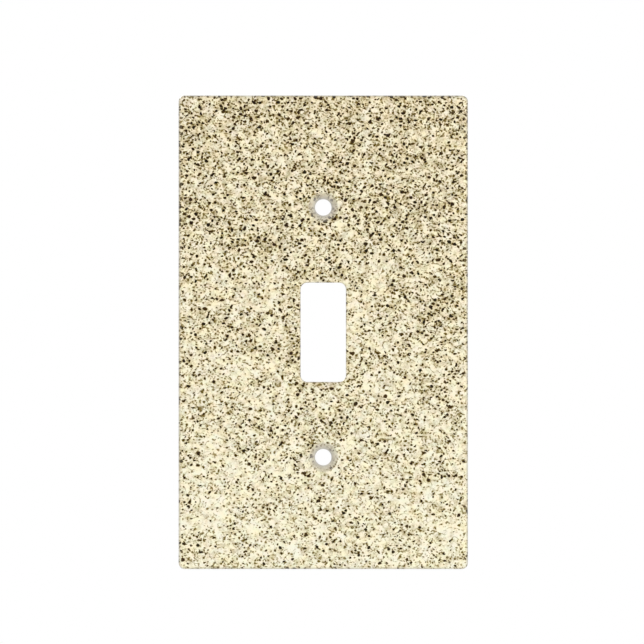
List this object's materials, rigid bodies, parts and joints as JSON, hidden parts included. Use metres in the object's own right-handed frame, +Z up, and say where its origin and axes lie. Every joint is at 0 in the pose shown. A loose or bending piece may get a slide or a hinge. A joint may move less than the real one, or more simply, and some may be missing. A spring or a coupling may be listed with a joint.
{
  "type": "toggle switch wall plate",
  "caption": "Flat wall plate for one toggle light switch, with a toggle opening, countersunk screw holes, a hollow ribbed back and a speckled gold printed face.",
  "frame": {"origin": "on the wall, behind the middle of the toggle opening", "axes": "+Z up along the height, +X to the right as seen from the room, +Y into the wall, so the front faces -Y"},
  "size_m": [0.0698, 0.0056, 0.1142],
  "materials": {
    "plate_plastic": "white moulded plastic, satin, with a faint moulded grain",
    "face_print": "glossy printed layer, pale gold with fine dark brown speckles"
  },
  "bodies": {
    "root": {"plate_body": "plate_plastic", "printed_face": "face_print"}
  },
  "joints": []
}
